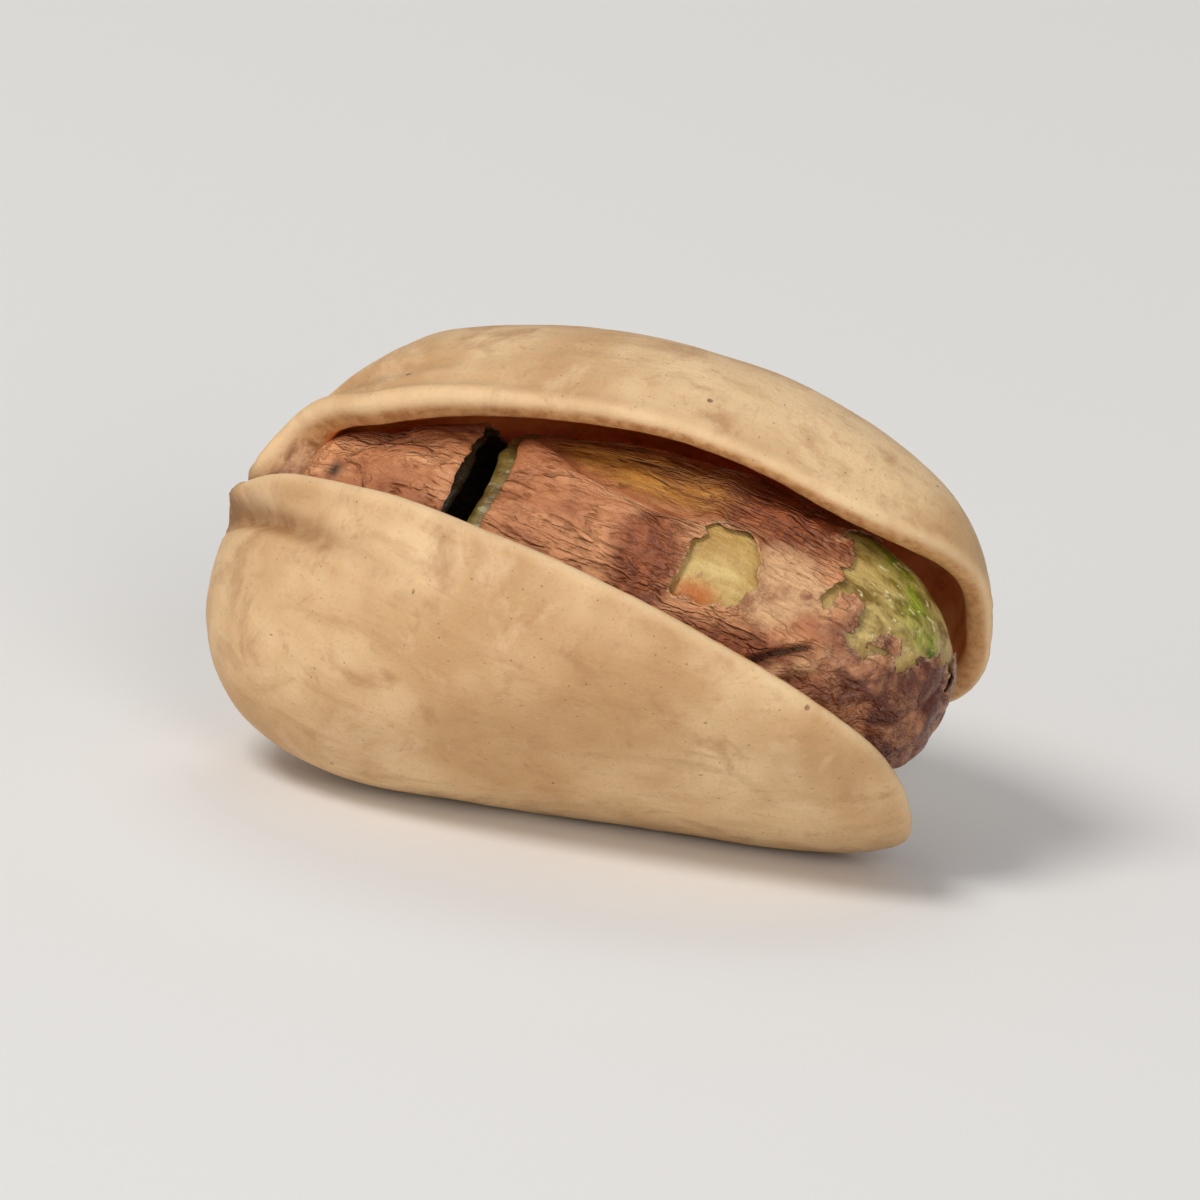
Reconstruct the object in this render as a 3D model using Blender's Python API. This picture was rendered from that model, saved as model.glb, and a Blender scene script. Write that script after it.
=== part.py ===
"""A roasted pistachio lying in its split shell.

Run with: blender --background --python part.py
Units are metres and +Z is up. The nut is shaped in its own frame and then laid on its rest spot:
  +X runs from the stem end to the tip, -Y points out of the mouth, +Z goes through the upper half.
u is the angle along the nut (0 at the stem, pi at the tip), and phi the angle round it from the mouth.
"""

import math

import bmesh
import bpy
import numpy as np
from mathutils import Matrix

MM = 0.001

# Shell, measured as it would be with its halves closed.
HALF_LENGTH = 10.25 * MM
HALF_WIDTH = 5.3 * MM  # from mouth to back
UPPER_DEPTH = 5.85 * MM
LOWER_DEPTH = 5.6 * MM
WIDTH_TAPER = -0.05  # of the half width, gained at the stem and lost at the tip
UPPER_TAPER = 0.19
LOWER_TAPER = 0.48
LOWER_SLACK = 0.33  # the tip half of the lower shell is flatter still
WALL = 0.8 * MM
STEM_WALL_EXTRA = 0.2 * MM  # the wall is this much thicker at the stem and thinner at the tip
BLUNTNESS = 0.87  # under 1 rounds the two ends off
TIP_SPREAD = 0.25  # the tip is broad and flat, like a bill
TIP_FLATNESS = 0.15
TIP_ONSET = 8  # higher keeps the bill closer to the tip
MOUTH_BULGE = 0.5 * MM  # the middle of the nut leans this far towards the mouth

# How the upper half has swung open, about a hinge point at the stem end.
GAPE_ACROSS = math.radians(22.0)  # like a clam, about the nut's length
GAPE_ALONG = math.radians(14.3)  # the tip lifts
HINGE_X = -0.97 * HALF_LENGTH
HINGE_Y = 1.5 * MM
JOINED_REACH = 1.7 * MM  # from the hinge line to where the seam has split
OPENING_LENGTH = 6.3 * MM  # over this length the opened half bends away
BEND_PER_HEIGHT = 0.4  # the crown bends away sooner than the seam
CORNER_ARCH = math.radians(16.0)  # the upper rim is drawn back at the mouth's inner corner
CORNER_START, CORNER_RISE, CORNER_FALL = 0.1 * MM, 1.2 * MM, 5.5 * MM
MOUTH_COVER = math.radians(8.5)  # beyond that corner the upper rim comes down further over the kernel
COVER_START, COVER_FULL = 0.8 * MM, 3.8 * MM  # from the stem end
TIP_COVER = math.radians(15.0)  # and further still towards the tip
TIP_COVER_START, TIP_COVER_FULL = 9.0 * MM, 19.5 * MM

# Kernel, in the shell's frame.
KERNEL_HALF_LENGTH = 8.6 * MM
KERNEL_HALF_WIDTH = 3.68 * MM
KERNEL_HALF_DEPTH = 3.75 * MM
KERNEL_X = 0.8 * MM
KERNEL_Y = -0.64 * MM
KERNEL_Z = 1.75 * MM
KERNEL_LIFT = math.radians(7.2)  # its tip is raised
KERNEL_TAPER = -0.06  # a little fatter at the tip
KERNEL_BLUNTNESS = 0.74
KERNEL_STEM_BLUNTNESS = 0.04  # its stem end is the blunter one

# The kernel has snapped across near its stem end.
BREAK_X = -4.8 * MM  # on the kernel's own axis
BREAK_GAP = 0.65 * MM
BREAK_LEAN = 0.02  # the break leans to the stem as it rises
BREAK_WAVE = 0.18 * MM
BREAK_WAVES, BREAK_WAVE_TURN = 3, 0.6

# The papery skin over the kernel.
SKIN_GAP = 0.28 * MM
SKIN_THICKNESS = 0.18 * MM
SKIN_WINDOWS = {  # where the skin is torn away: place along the kernel, angle round it, half sizes
    "skin_tear_front": (3.2 * MM, math.radians(-8.0), 1.35 * MM, 1.15 * MM),
    "skin_tear_tip": (6.6 * MM, math.radians(12.0), 1.7 * MM, 1.25 * MM),
}

# How the nut rests: on a small flat spot of the lower half, tip down and mouth up.
TIP_DOWN = math.radians(9.85)
ROLLED_BACK = math.radians(43.2)
REST_FLAT_DEPTH = 0.2 * MM

# Mesh detail.
SHELL_STATIONS, SHELL_COLUMNS = 36, 14
KERNEL_STATIONS, KERNEL_COLUMNS = 20, 26
STEM_PIECE_STATIONS = 8
SHARP_EDGE = math.radians(40.0)
OUTLINE_SAMPLES = 2001
CUT_TOLERANCE = 0.0001 * MM


def smooth(low, high, value):
    """0 below low, 1 above high, and a smooth rise between them."""
    t = np.clip((value - low) / (high - low), 0, 1)
    return t * t * (3 - 2 * t)


def rotation(axis, angle):
    return np.array(Matrix.Rotation(angle, 3, axis))


# Shell


def closed_shell(u, phi, side, inset):
    """Points of the shell wall before it opened; side is 1 for the upper half, -1 for the lower."""
    along, tipness = np.cos(u), np.sin(u / 2) ** TIP_ONSET
    across = np.sin(u) ** (BLUNTNESS - TIP_SPREAD * tipness)
    half_width = (HALF_WIDTH - inset) * across * (1 + WIDTH_TAPER * along)
    across = np.sin(u) ** (BLUNTNESS + TIP_FLATNESS * tipness)
    if side > 0:
        half_depth = (UPPER_DEPTH - inset) * across * (1 + UPPER_TAPER * along)
    else:
        slack = LOWER_SLACK * np.sin(u / 2) ** 2 * np.sin(u) ** 2
        half_depth = (LOWER_DEPTH - inset) * across * (1 + LOWER_TAPER * along - slack)
    x = -(HALF_LENGTH - inset) * along + STEM_WALL_EXTRA * inset / WALL
    y = -half_width * np.cos(phi) - MOUTH_BULGE * np.sin(u) ** 2
    z = side * half_depth * np.sin(phi)
    return np.stack([x, y, z], -1)


def past_hinge(points):
    """How far points lie past the hinge line, towards the open side."""
    gape = math.hypot(GAPE_ALONG, GAPE_ACROSS)
    ahead = GAPE_ALONG * (points[..., 0] - HINGE_X) - GAPE_ACROSS * (points[..., 1] - HINGE_Y)
    return ahead / gape


def opened(points):
    """The upper half's points, swung open; those near the hinge bend and the joined seam stays."""
    pivot = np.array([HINGE_X, HINGE_Y, 0])
    turn = rotation("Y", -GAPE_ALONG) @ rotation("X", -GAPE_ACROSS)
    swung = (points - pivot) @ turn.T + pivot
    reach = past_hinge(points) + BEND_PER_HEIGHT * points[..., 2]
    share = smooth(JOINED_REACH, JOINED_REACH + OPENING_LENGTH, reach)
    return points + share[..., None] * (swung - points)


def even_stations(count):
    """Angles from stem to tip that space the rings evenly along the nut's outline."""
    u = np.linspace(0, math.pi, OUTLINE_SAMPLES)
    rim = closed_shell(u, 0.0, -1, 0.0)
    walked = np.concatenate([[0], np.cumsum(np.linalg.norm(np.diff(rim, axis=0), axis=1))])
    return np.interp(np.linspace(0, walked[-1], count + 1), walked, u)


def rim_turn(u):
    """How far the upper rim is drawn back from the closed seam, as an angle; under 0 it comes down."""
    from_stem = HALF_LENGTH * (1 - np.cos(u))
    past_corner = from_stem - CORNER_START
    arch = smooth(0, CORNER_RISE, past_corner) * (1 - smooth(0, CORNER_FALL, past_corner))
    cover = MOUTH_COVER * smooth(COVER_START, COVER_FULL, from_stem)
    cover = cover + TIP_COVER * smooth(TIP_COVER_START, TIP_COVER_FULL, from_stem) ** 2
    return CORNER_ARCH * arch - cover


def shell_mesh():
    """One closed body: two half shells, each with an outer and an inner face, joined round the stem."""
    u, phi = np.meshgrid(
        even_stations(SHELL_STATIONS), np.linspace(0, math.pi, SHELL_COLUMNS + 1), indexing="ij"
    )
    phi_upper = phi + rim_turn(u) * (1 - phi / math.pi)
    points, index = [], {}
    for layer, inset in (("outer", 0.0), ("inner", WALL)):
        for side in (-1, 1):
            if side < 0:
                grid = closed_shell(u, phi, side, inset)
            else:
                grid = opened(closed_shell(u, phi_upper, side, inset))
            ids = len(points) + np.arange(u.size).reshape(u.shape)
            points.extend(grid.reshape(-1, 3))
            ids[-1] = ids[-1, 0]
            ids[0] = ids[0, 0] if side < 0 else index[layer, -1][0, 0]
            index[layer, side] = ids
    faces = []
    for column in (0, SHELL_COLUMNS):
        seam = closed_shell(u[:, column], phi[:, column], -1, 0.0)
        joined = past_hinge(seam) <= JOINED_REACH
        split_from = int(np.argmin(joined)) - 1
        for layer in ("outer", "inner"):
            index[layer, 1][: split_from + 1, column] = index[layer, -1][: split_from + 1, column]
        for side in (-1, 1):
            outer, inner = index["outer", side][:, column], index["inner", side][:, column]
            for i in range(split_from, SHELL_STATIONS):
                faces.append((outer[i], outer[i + 1], inner[i + 1], inner[i]))
    for ids in index.values():
        faces.extend(grid_faces(ids))
    return points, faces


# Kernel and skin


def kernel_surface(v, psi, offset):
    """Points at a height above the kernel's surface; v is the angle along it and psi that round it."""
    along = np.cos(v)
    across = np.sin(v) ** (KERNEL_BLUNTNESS - KERNEL_STEM_BLUNTNESS * along)
    taper = across * (1 + KERNEL_TAPER * along)
    x = -(KERNEL_HALF_LENGTH + offset) * along
    y = -(KERNEL_HALF_WIDTH + offset) * taper * np.cos(psi)
    z = (KERNEL_HALF_DEPTH + offset) * taper * np.sin(psi)
    points = np.stack([x, y, z], -1) @ rotation("Y", -KERNEL_LIFT).T
    return points + np.array([KERNEL_X, KERNEL_Y, KERNEL_Z])


def break_angle(psi, shift):
    """The angle along the kernel where it has snapped, on the side that lies shift along the axis."""
    x = BREAK_X + shift - BREAK_LEAN * KERNEL_HALF_DEPTH * np.sin(psi)
    x = x + BREAK_WAVE * np.sin(BREAK_WAVES * psi + BREAK_WAVE_TURN)
    return np.arccos(-x / KERNEL_HALF_LENGTH)


def kernel_grid(piece, offset):
    """The rings of one piece of the kernel, from its pole to its broken edge."""
    count = STEM_PIECE_STATIONS if piece == "stem" else KERNEL_STATIONS
    psi = np.linspace(0, 2 * math.pi, KERNEL_COLUMNS, endpoint=False)[None, :]
    share = np.linspace(0, 1, count + 1)[:, None]
    if piece == "stem":
        return kernel_surface(share * break_angle(psi, 0.0), psi, offset)
    broken = break_angle(psi, BREAK_GAP)
    return kernel_surface(math.pi + share * (broken - math.pi), psi, offset)


def kernel_mesh(piece):
    """A piece of the kernel, closed by its broken face."""
    grid = kernel_grid(piece, 0.0)
    points = list(grid.reshape(-1, 3))
    ids = np.arange(len(points)).reshape(grid.shape[:2])
    ids[0] = ids[0, 0]
    points.append(grid[-1].mean(axis=0))
    ring = np.append(ids[-1], ids[-1, 0])
    faces = grid_faces(np.column_stack([ids, ids[:, 0]]))
    faces += [(a, b, len(points) - 1) for a, b in zip(ring, ring[1:])]
    return points, faces


def skin_mesh(piece):
    """The skin over a piece of the kernel: a thin cup that is open at the broken edge."""
    points, rows = [], []
    for offset in (SKIN_GAP, SKIN_GAP + SKIN_THICKNESS):
        grid = kernel_grid(piece, offset)
        ids = len(points) + np.arange(grid[..., 0].size).reshape(grid.shape[:2])
        ids[0] = ids[0, 0]
        points.extend(grid.reshape(-1, 3))
        rows.append(np.column_stack([ids, ids[:, 0]]))
    edge = zip(rows[0][-1], rows[0][-1][1:], rows[1][-1][1:], rows[1][-1])
    return points, grid_faces(rows[0]) + grid_faces(rows[1]) + list(edge)


def tear_cutter(name, place, angle, half_long, half_wide):
    """A blob that takes the torn part out of the skin."""
    centre = kernel_surface(math.acos(-place / KERNEL_HALF_LENGTH), angle, 0.0)
    shape = bmesh.new()
    bmesh.ops.create_icosphere(shape, subdivisions=3, radius=1.0)
    bmesh.ops.scale(shape, vec=(half_long, half_wide, half_wide), verts=shape.verts)
    bmesh.ops.translate(shape, vec=centre, verts=shape.verts)
    cutter = new_object(name, shape, None)
    cutter.hide_render = True
    cutter.display_type = "WIRE"
    return cutter


# Blender objects


def grid_faces(ids):
    """Quads over a grid of vertex numbers; those that touch a pole become triangles."""
    faces = []
    for row, nxt in zip(ids, ids[1:]):
        for a, b, c, d in zip(row, row[1:], nxt[1:], nxt):
            face = tuple(dict.fromkeys((a, b, c, d)))
            if len(face) > 2:
                faces.append(face)
    return faces


def as_bmesh(points, faces):
    """A bmesh of these points and faces, without unused points and with its faces facing out."""
    shape = bmesh.new()
    verts = [shape.verts.new(p) for p in points]
    for face in faces:
        shape.faces.new([verts[k] for k in face])
    loose = [v for v in shape.verts if not v.link_faces]
    bmesh.ops.delete(shape, geom=loose, context="VERTS")
    bmesh.ops.recalc_face_normals(shape, faces=shape.faces)
    return shape


def new_object(name, shape, material):
    mesh = bpy.data.meshes.new(name)
    shape.to_mesh(mesh)
    shape.free()
    obj = bpy.data.objects.new(name, mesh)
    bpy.context.scene.collection.objects.link(obj)
    if material:
        mesh.materials.append(material)
        mesh.shade_smooth()
        mesh.set_sharp_from_angle(angle=SHARP_EDGE)
    return obj


def new_material(name, colour, roughness):
    material = bpy.data.materials.new(name)
    material.use_nodes = True
    shader = material.node_tree.nodes["Principled BSDF"]
    shader.inputs["Base Color"].default_value = (*colour, 1.0)
    shader.inputs["Roughness"].default_value = roughness
    shader.inputs["Metallic"].default_value = 0.0
    return material


def cut_rest_flat(shape, height):
    """Cuts the shell's underside level at this height and closes it with one flat face."""
    geometry = list(shape.verts) + list(shape.edges) + list(shape.faces)
    cut = bmesh.ops.bisect_plane(
        shape,
        geom=geometry,
        dist=CUT_TOLERANCE,
        plane_co=(0, 0, height),
        plane_no=(0, 0, -1),
        clear_outer=True,
    )
    edges = [e for e in cut["geom_cut"] if isinstance(e, bmesh.types.BMEdge)]
    bmesh.ops.contextual_create(shape, geom=edges)
    bmesh.ops.recalc_face_normals(shape, faces=shape.faces)


def main():
    for obj in list(bpy.data.objects):
        bpy.data.objects.remove(obj, do_unlink=True)

    shell_tan = new_material("shell_tan", (0.60, 0.41, 0.23), 0.62)
    kernel_green = new_material("kernel_green", (0.45, 0.42, 0.10), 0.5)
    skin_brown = new_material("skin_brown", (0.33, 0.13, 0.07), 0.55)

    laid = Matrix.Rotation(TIP_DOWN, 4, "Y") @ Matrix.Rotation(-ROLLED_BACK, 4, "X")
    shell = as_bmesh(*shell_mesh())
    bmesh.ops.transform(shell, matrix=laid, verts=shell.verts)
    corners = np.array([v.co for v in shell.verts])
    low, high = corners.min(axis=0), corners.max(axis=0)
    floor = low[2] + REST_FLAT_DEPTH
    cut_rest_flat(shell, floor)
    middle = (low + high) / 2
    placed = Matrix.Translation((-middle[0], -middle[1], -floor))
    bmesh.ops.transform(shell, matrix=placed, verts=shell.verts)
    new_object("shell", shell, shell_tan)

    cutters = [tear_cutter(name, *window) for name, window in SKIN_WINDOWS.items()]
    for piece, suffix in (("main", ""), ("stem", "_stem_piece")):
        kernel = new_object("kernel" + suffix, as_bmesh(*kernel_mesh(piece)), kernel_green)
        skin = new_object("skin" + suffix, as_bmesh(*skin_mesh(piece)), skin_brown)
        kernel.matrix_world = skin.matrix_world = placed @ laid
        if piece == "stem":
            continue
        for cutter in cutters:
            cutter.matrix_world = placed @ laid
            tear = skin.modifiers.new(cutter.name, "BOOLEAN")
            tear.operation = "DIFFERENCE"
            tear.object = cutter


main()
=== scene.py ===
"""Looks of the pistachio in its split shell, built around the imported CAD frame.

The shell and kernel repeat the CAD's formulas at a fine resolution, then get rounded rims, lips,
wrinkles, a torn papery skin and procedural materials. Lengths in the shaping code are millimetres.
  The nut's own frame: +X from stem end to tip, -Y out of the mouth, +Z through the upper half.
  u: angle along the nut (0 stem, pi tip); phi: angle round it (0 mouth seam, pi back seam).
"""

import math

import bpy
import numpy as np
from mathutils import Matrix, Vector


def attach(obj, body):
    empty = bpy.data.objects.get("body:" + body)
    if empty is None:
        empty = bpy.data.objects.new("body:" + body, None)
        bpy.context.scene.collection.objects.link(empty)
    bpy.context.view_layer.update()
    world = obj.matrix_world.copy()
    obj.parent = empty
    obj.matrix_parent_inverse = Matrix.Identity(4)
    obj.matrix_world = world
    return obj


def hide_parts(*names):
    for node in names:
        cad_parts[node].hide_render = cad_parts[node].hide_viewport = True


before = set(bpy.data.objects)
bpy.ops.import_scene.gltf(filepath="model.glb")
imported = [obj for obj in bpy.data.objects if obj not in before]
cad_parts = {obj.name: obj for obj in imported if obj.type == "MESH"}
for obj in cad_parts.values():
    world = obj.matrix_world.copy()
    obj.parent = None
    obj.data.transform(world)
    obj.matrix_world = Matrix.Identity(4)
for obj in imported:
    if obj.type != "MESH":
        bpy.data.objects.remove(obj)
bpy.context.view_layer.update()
MM = 0.001

# ---------------------------------------------------------------- the CAD's own dimensions, in mm

HALF_LENGTH, HALF_WIDTH = 10.25, 5.3
UPPER_DEPTH, LOWER_DEPTH = 5.85, 5.6
WIDTH_TAPER, UPPER_TAPER, LOWER_TAPER, LOWER_SLACK = -0.05, 0.19, 0.48, 0.33
WALL, STEM_WALL_EXTRA = 0.8, 0.2
BLUNTNESS, TIP_SPREAD, TIP_FLATNESS, TIP_ONSET = 0.87, 0.25, 0.15, 8
MOUTH_BULGE = 0.5
GAPE_ACROSS, GAPE_ALONG = math.radians(22.0), math.radians(14.3)
HINGE_X, HINGE_Y = -0.97 * HALF_LENGTH, 1.5
JOINED_REACH, OPENING_LENGTH, BEND_PER_HEIGHT = 1.7, 6.3, 0.4
CORNER_ARCH = math.radians(16.0)
CORNER_START, CORNER_RISE, CORNER_FALL = 0.1, 1.2, 5.5
MOUTH_COVER, COVER_START, COVER_FULL = math.radians(8.5), 0.8, 3.8
TIP_COVER, TIP_COVER_START, TIP_COVER_FULL = math.radians(15.0), 9.0, 19.5
KERNEL_HALF_LENGTH, KERNEL_HALF_WIDTH, KERNEL_HALF_DEPTH = 8.6, 3.68, 3.75
KERNEL_PLACE = np.array([0.8, -0.64, 1.75])
KERNEL_LIFT, KERNEL_TAPER = math.radians(7.2), -0.06
KERNEL_BLUNTNESS, KERNEL_STEM_BLUNTNESS = 0.74, 0.04
BREAK_X, BREAK_GAP, BREAK_LEAN = -4.8, 0.65, 0.02
BREAK_WAVE, BREAK_WAVES, BREAK_WAVE_TURN = 0.18, 3, 0.6
TIP_DOWN, ROLLED_BACK, REST_FLAT_DEPTH = math.radians(9.85), math.radians(43.2), 0.2
CAD_STATIONS, CAD_COLUMNS = 36, 14

# ---------------------------------------------------------------- detail of the shell, in mm

RIM_STATIONS = 220  # along each of the two seams
OUTER_COLUMNS, EDGE_COLUMNS, INNER_COLUMNS = 62, 14, 26
EDGE_WALL, EDGE_ROUNDING, EDGE_SQUARENESS = 0.60, 0.34, 0.8
THINNING_REACH = 2.6
LIP_AT, LIP_WIDTH = 0.34, 0.30  # the rolled lip, from the rim
FURROW_AT, FURROW_SLANT, FURROW_WIDTH = 0.78, 0.15, 0.34
NUB_OFFSET = np.array([0.05, -0.35, -0.30])  # from the mouth's inner corner
FLAT_ROUNDING = 0.02
FURROW_REACH = (3.0, 9.0)  # it fades between these distances from the mouth's inner corner
NUB_SIZE = 0.62
SUTURE_FACE = 0.55  # the upper rim is this much broader at the mouth's inner corner
HOOD_FACE, HOOD_START, HOOD_FULL = 0.35, 14.0, 18.5  # and round the tip, measured from the stem end
RIDGE_RISE, FURROW_DEPTH, SLIT_DEPTH, NUB_RISE = 0.28, 0.58, 0.05, 0.28
SLIT_WIDTH = 0.09  # the line that marks the joined seam
PROBE_BETA = 0.1  # the rise up the dome over which the surface is measured
MOST_EDGE_BETA = 0.3  # how far up the dome the rounding may reach
CAD_OUTLINE_SAMPLES = 2001
RIM_SAMPLES = 4001
TINY = 1e-9
FAR = 1e9


def smooth(low, high, value):
    """0 below low, 1 above high, and a smooth rise between them."""
    t = np.clip((value - low) / (high - low), 0, 1)
    return t * t * (3 - 2 * t)


def hump(value, centre, width):
    return np.exp(-(((value - centre) / width) ** 2))


def rotation(axis, angle):
    return np.array(Matrix.Rotation(angle, 3, axis))


# ---------------------------------------------------------------- seeded noise on points


def lattice(cell, seed):
    """A repeatable value from -1 to 1 for each whole-number point."""
    n = cell[..., 0] * 374761393 + cell[..., 1] * 668265263 + cell[..., 2] * 1440662683
    n = (n + seed * 974634777) & 0xFFFFFFFF
    n = ((n ^ (n >> 13)) * 1274126177) & 0xFFFFFFFF
    n = ((n ^ (n >> 16)) * 461845907) & 0xFFFFFFFF
    return ((n ^ (n >> 15)) & 0xFFFFFF) / float(0x7FFFFF) - 1.0


def noise(points, size, seed):
    """Smooth noise from about -1 to 1; size is that of its features, or one for each axis."""
    q = points / np.asarray(size, float)
    cell = np.floor(q).astype(np.int64)
    f = q - cell
    f = f * f * f * (f * (f * 6 - 15) + 10)
    total = 0.0
    for corner in np.ndindex(2, 2, 2):
        corner = np.array(corner)
        weight = np.prod(np.where(corner, f, 1 - f), axis=-1)
        total = total + weight * lattice(cell + corner, seed)
    return total


def layered(points, size, seed, octaves=3, gain=0.5):
    total, strength, size = 0.0, 1.0, np.asarray(size, float)
    for octave in range(octaves):
        total = total + strength * noise(points, size, seed + 17 * octave)
        strength, size = strength * gain, size * 0.5
    return total


def creases(points, size, seed):
    """Narrow valleys at 0 and broad backs near 1."""
    return np.abs(noise(points, size, seed))


# ---------------------------------------------------------------- the CAD's shapes


def shell_width(u):
    tipness = np.sin(u / 2) ** TIP_ONSET
    return np.sin(u) ** (BLUNTNESS - TIP_SPREAD * tipness) * (1 + WIDTH_TAPER * np.cos(u))


def closed_shell(u, phi, side, inset):
    """Points of the shell wall before it opened; side is 1 for the upper half, -1 for the lower."""
    along, tipness = np.cos(u), np.sin(u / 2) ** TIP_ONSET
    half_width = (HALF_WIDTH - inset) * shell_width(u)
    across = np.sin(u) ** (BLUNTNESS + TIP_FLATNESS * tipness)
    if side > 0:
        half_depth = (UPPER_DEPTH - inset) * across * (1 + UPPER_TAPER * along)
    else:
        slack = LOWER_SLACK * np.sin(u / 2) ** 2 * np.sin(u) ** 2
        half_depth = (LOWER_DEPTH - inset) * across * (1 + LOWER_TAPER * along - slack)
    x = -(HALF_LENGTH - inset) * along + STEM_WALL_EXTRA * inset / WALL
    y = -half_width * np.cos(phi) - MOUTH_BULGE * np.sin(u) ** 2
    z = side * half_depth * np.sin(phi)
    return np.stack([x, y, z], -1)


def past_hinge(points):
    gape = math.hypot(GAPE_ALONG, GAPE_ACROSS)
    ahead = GAPE_ALONG * (points[..., 0] - HINGE_X) - GAPE_ACROSS * (points[..., 1] - HINGE_Y)
    return ahead / gape


def opened(points):
    pivot = np.array([HINGE_X, HINGE_Y, 0])
    turn = rotation("Y", -GAPE_ALONG) @ rotation("X", -GAPE_ACROSS)
    swung = (points - pivot) @ turn.T + pivot
    reach = past_hinge(points) + BEND_PER_HEIGHT * points[..., 2]
    share = smooth(JOINED_REACH, JOINED_REACH + OPENING_LENGTH, reach)
    return points + share[..., None] * (swung - points)


def rim_turn(u):
    """How far the upper rim is drawn back from the closed seam, as an angle."""
    from_stem = HALF_LENGTH * (1 - np.cos(u))
    past_corner = from_stem - CORNER_START
    arch = smooth(0, CORNER_RISE, past_corner) * (1 - smooth(0, CORNER_FALL, past_corner))
    cover = MOUTH_COVER * smooth(COVER_START, COVER_FULL, from_stem)
    cover = cover + TIP_COVER * smooth(TIP_COVER_START, TIP_COVER_FULL, from_stem) ** 2
    return CORNER_ARCH * arch - cover


def half_shell(u, phi, side, inset):
    if side < 0:
        return closed_shell(u, phi, side, inset)
    return opened(closed_shell(u, phi + rim_turn(u) * (1 - phi / math.pi), side, inset))


def laying():
    """The turn and the shift that lay the nut on its flat spot, as the CAD does."""
    u = np.linspace(0, math.pi, CAD_OUTLINE_SAMPLES)
    rim = closed_shell(u, 0.0, -1, 0.0)
    walked = np.concatenate([[0], np.cumsum(np.linalg.norm(np.diff(rim, axis=0), axis=1))])
    u = np.interp(np.linspace(0, walked[-1], CAD_STATIONS + 1), walked, u)
    u, phi = np.meshgrid(u, np.linspace(0, math.pi, CAD_COLUMNS + 1), indexing="ij")
    turn = rotation("Y", TIP_DOWN) @ rotation("X", -ROLLED_BACK)
    halves = [half_shell(u, phi, side, 0.0).reshape(-1, 3) for side in (-1, 1)]
    points = np.concatenate(halves) @ turn.T
    low, high = points.min(axis=0), points.max(axis=0)
    middle = (low + high) / 2
    return turn, -np.array([middle[0], middle[1], low[2] + REST_FLAT_DEPTH])


TURN, SHIFT = laying()


def laid(points):
    return points @ TURN.T + SHIFT


# ---------------------------------------------------------------- mesh helpers


def grid_faces(ids):
    """Quads over a grid of vertex numbers, as rows of four; a triangle repeats its last number."""
    a, b = ids[:-1, :-1].ravel(), ids[:-1, 1:].ravel()
    c, d = ids[1:, 1:].ravel(), ids[1:, :-1].ravel()
    return tidy_faces(np.stack([a, b, c, d], -1))


def tidy_faces(faces):
    """Drops collapsed faces and turns quads with two equal corners into triangles (a, b, c, c)."""
    kept = []
    same = [faces[:, i] == faces[:, (i + 1) % 4] for i in range(4)]
    count = np.sum(same, axis=0)
    kept.append(faces[count == 0])
    for i in range(4):
        some = faces[(count == 1) & same[i]]
        others = [(i + 1) % 4, (i + 2) % 4, (i + 3) % 4]
        kept.append(some[:, [others[0], others[1], others[2], others[2]]])
    return np.concatenate(kept)


def vertex_normals(points, faces):
    p = points[faces]
    normals = np.cross(p[:, 2] - p[:, 0], p[:, 3] - p[:, 1])
    total = np.zeros_like(points)
    for corner in range(4):
        for axis in range(3):
            total[:, axis] += np.bincount(faces[:, corner], normals[:, axis], len(points))
    length = np.linalg.norm(total, axis=1, keepdims=True)
    return total / np.maximum(length, 1e-12)


def new_piece(name, points, faces, material, layers):
    """A smooth mesh object from points in world millimetres; layers are its vertex attributes."""
    used = np.zeros(len(points), bool)
    used[faces.ravel()] = True
    number = np.cumsum(used) - 1
    points, faces = points[used], number[faces]
    triangle = faces[:, 2] == faces[:, 3]
    sizes = np.where(triangle, 3, 4)
    corners = np.concatenate([f[:n] for f, n in zip(faces, sizes)])
    starts = np.concatenate([[0], np.cumsum(sizes)[:-1]])
    mesh = bpy.data.meshes.new(name)
    mesh.vertices.add(len(points))
    mesh.vertices.foreach_set("co", (points * MM).astype(np.float32).ravel())
    mesh.loops.add(len(corners))
    mesh.loops.foreach_set("vertex_index", corners.astype(np.int32))
    mesh.polygons.add(len(faces))
    mesh.polygons.foreach_set("loop_start", starts.astype(np.int32))
    mesh.update(calc_edges=True)
    mesh.validate()
    for layer, values in layers.items():
        values = np.asarray(values, np.float32)[used]
        kind = "FLOAT_VECTOR" if values.ndim > 1 else "FLOAT"
        attribute = mesh.attributes.new(layer, kind, "POINT")
        attribute.data.foreach_set("vector" if values.ndim > 1 else "value", values.ravel())
    mesh.materials.append(material)
    mesh.shade_smooth()
    piece = bpy.data.objects.new(name, mesh)
    bpy.context.scene.collection.objects.link(piece)
    return piece


# ---------------------------------------------------------------- node helpers


def tone(red, green, blue):
    """A colour given as 0 to 255 display values, made linear."""
    shares = (red / 255, green / 255, blue / 255)
    linear = [v / 12.92 if v <= 0.04045 else ((v + 0.055) / 1.055) ** 2.4 for v in shares]
    return (*linear, 1.0)


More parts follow.
